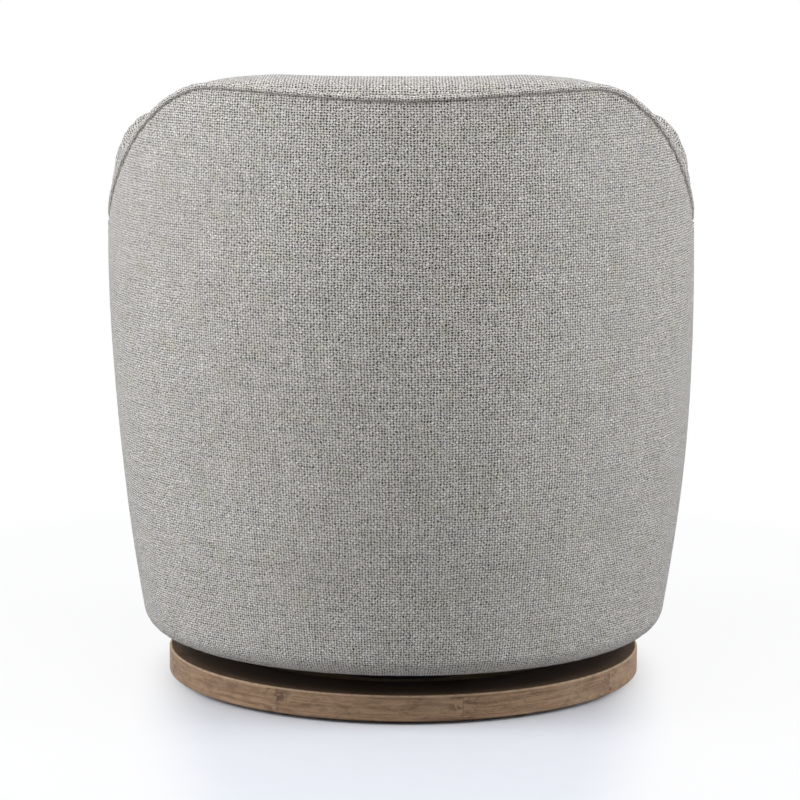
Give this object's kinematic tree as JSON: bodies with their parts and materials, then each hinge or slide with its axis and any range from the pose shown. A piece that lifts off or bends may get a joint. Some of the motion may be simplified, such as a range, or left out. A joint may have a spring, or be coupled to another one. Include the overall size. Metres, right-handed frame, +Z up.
{
  "type": "swivel rocker chair",
  "caption": "Upholstered barrel chair with a wraparound padded back and arms on a round wood plinth; the shell swivels freely and rocks slightly on a low sprung pivot.",
  "frame": {"origin": "on the floor at the swivel axis, in the middle of the round plinth", "axes": "+Z up along the swivel axis; the sitter faces -Y and the rear of the shell is at +Y; +X is the sitter's left"},
  "size_m": [0.7662, 0.764, 0.8115],
  "materials": {
    "fabric": "coarse plain weave",
    "welt": "coarse plain weave",
    "stained_wood": "matt stain",
    "plywood": "raw",
    "hardwood": "raw",
    "fibreboard": "raw",
    "black_steel": "satin black",
    "zinc_steel": "zinc plated",
    "ball_steel": "polished",
    "spring_steel": "oiled",
    "rubber": "matt",
    "nylon": "natural",
    "glide": "matt black",
    "felt": "needled",
    "cambric": "thin black cloth"
  },
  "bodies": {
    "base": {"plinth_rim": "stained_wood", "plinth_deck": "plywood", "deck_screws": "zinc_steel", "floor_glides": "glide", "swivel_lower_plate": "black_steel", "lower_plate_screws": "zinc_steel", "king_pin": "zinc_steel"},
    "bearing": {"bearing_balls": "ball_steel", "ball_cage": "nylon"},
    "turntable": {"swivel_upper_plate": "black_steel", "rocker_cradle": "black_steel", "cradle_rivets": "zinc_steel", "pivot_shaft": "zinc_steel", "shaft_collars": "black_steel", "bump_stops": "rubber", "spring_front_left": "spring_steel", "spring_front_right": "spring_steel", "spring_rear_left": "spring_steel", "spring_rear_right": "spring_steel"},
    "seat": {"rocker_frame": "black_steel", "pivot_bushings": "nylon", "rocker_bolts": "zinc_steel", "rocker_nuts": "zinc_steel", "frame_bottom_ring": "plywood", "frame_cross_rails": "hardwood", "rail_screws": "zinc_steel", "frame_ribs": "plywood", "frame_top_rail": "plywood", "shell_board": "fibreboard", "seat_deck_ring": "plywood", "front_board": "fibreboard", "seat_springs": "spring_steel", "spring_clips": "zinc_steel", "deck_pad": "felt", "dust_cover": "cambric", "outer_back_cover": "fabric", "top_welt": "welt", "side_welts": "welt", "back_pad": "fabric", "arm_wrap_left": "fabric", "arm_wrap_right": "fabric", "arm_fronts": "fabric", "front_cover": "fabric", "seat_cushion": "fabric"}
  },
  "joints": [
    {"name": "swivel", "type": "hinge", "parent": "base", "child": "turntable", "pos_m": [0, 0, 0.03], "axis": [0, 0, 1], "continuous": true},
    {"name": "bearing_roll", "type": "hinge", "parent": "base", "child": "bearing", "pos_m": [0, 0, 0.029], "axis": [0, 0, 1], "continuous": true},
    {"name": "rock", "type": "hinge", "parent": "turntable", "child": "seat", "pos_m": [0, 0, 0.062], "axis": [1, 0, 0], "range_deg": [-3.5, 3.5], "stiffness_Nm_per_rad": 900, "deforming": ["spring_front_left", "spring_front_right", "spring_rear_left", "spring_rear_right"]}
  ],
  "couplings": [
    {"joint": "bearing_roll", "follows": "swivel", "ratio": 0.5}
  ]
}
